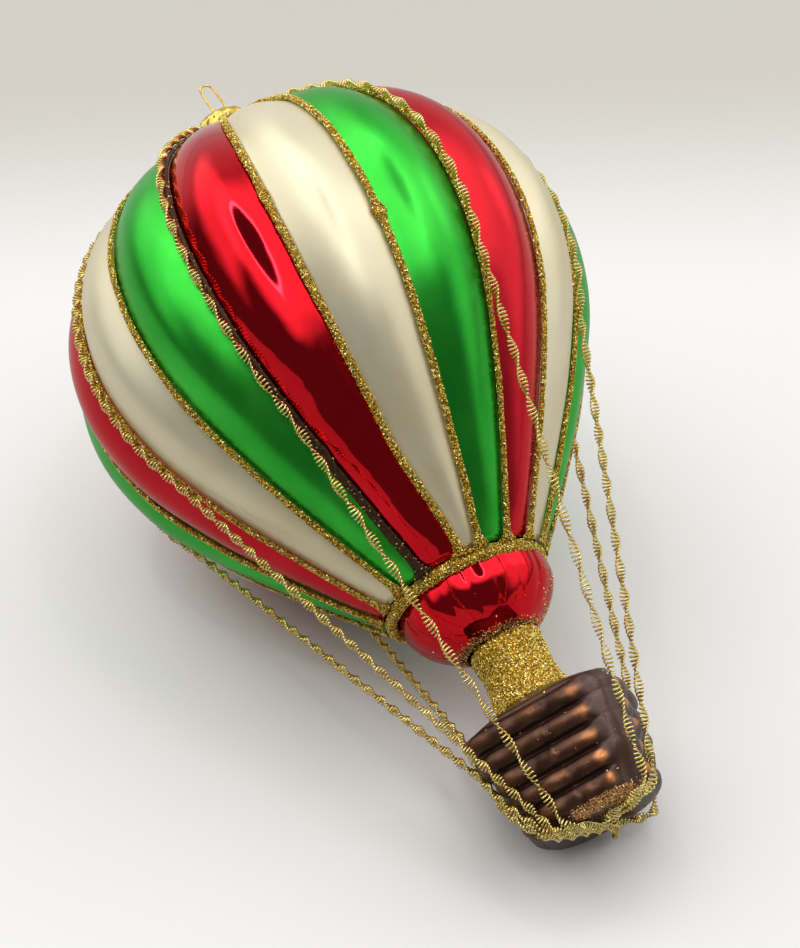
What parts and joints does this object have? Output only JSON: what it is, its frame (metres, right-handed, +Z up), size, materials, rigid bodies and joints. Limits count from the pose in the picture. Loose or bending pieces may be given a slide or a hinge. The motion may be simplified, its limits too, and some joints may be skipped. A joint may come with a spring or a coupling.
{
  "type": "glass tree ornament",
  "caption": "Blown-glass hot air balloon ornament, lying on its side: striped lobed envelope, glittered seams, ribbed basket, taut crinkle wires and a pull-off cap with a hanging loop.",
  "frame": {"origin": "centre of the bounding box's bottom face, on the table the ornament lies on", "axes": "+Z up as the ornament lies at rest; +X along it towards the basket, the cap at -X and raised; Y across, with the envelope's seam between two gores on the table at y = 0"},
  "size_m": [0.1468, 0.0874, 0.0857],
  "materials": {
    "cream": "pearly lacquer over silvered glass, satin",
    "green": "pearly lacquer over silvered glass, satin",
    "red": "transparent lacquer over silvered glass, mirror gloss",
    "glitter": "gold glitter grains in glue",
    "copper": "brown-copper lacquer on glass, glossy",
    "silvered": "silvered glass",
    "gilt": "bright gold-coloured stamped metal and wire",
    "wire": "pale gold crinkle wire"
  },
  "bodies": {
    "ornament": {"gore_01": "green", "gore_02": "red", "gore_03": "cream", "gore_04": "green", "gore_05": "red", "gore_06": "cream", "gore_07": "green", "gore_08": "red", "gore_09": "cream", "gore_10": "green", "gore_11": "red", "gore_12": "cream", "gore_13": "green", "gore_14": "red", "gore_15": "cream", "gore_16": "green", "gore_17": "red", "gore_18": "cream", "seam_01": "glitter", "seam_02": "glitter", "seam_03": "glitter", "seam_04": "glitter", "seam_05": "glitter", "seam_06": "glitter", "seam_07": "glitter", "seam_08": "glitter", "seam_09": "glitter", "seam_10": "glitter", "seam_11": "glitter", "seam_12": "glitter", "seam_13": "glitter", "seam_14": "glitter", "seam_15": "glitter", "seam_16": "glitter", "seam_17": "glitter", "seam_18": "glitter", "collar": "glitter", "skirt": "red", "neck": "glitter", "basket": "copper", "pike": "silvered", "strand_1": "wire", "strand_2": "wire", "strand_3": "wire", "strand_4": "wire"},
    "cap": {"cap": "gilt", "hanger": "gilt"}
  },
  "joints": [
    {"name": "cap_pull", "type": "slide", "parent": "ornament", "child": "cap", "axis": [-0.937, 0, 0.3494], "range_m": [0, 0.016]}
  ]
}
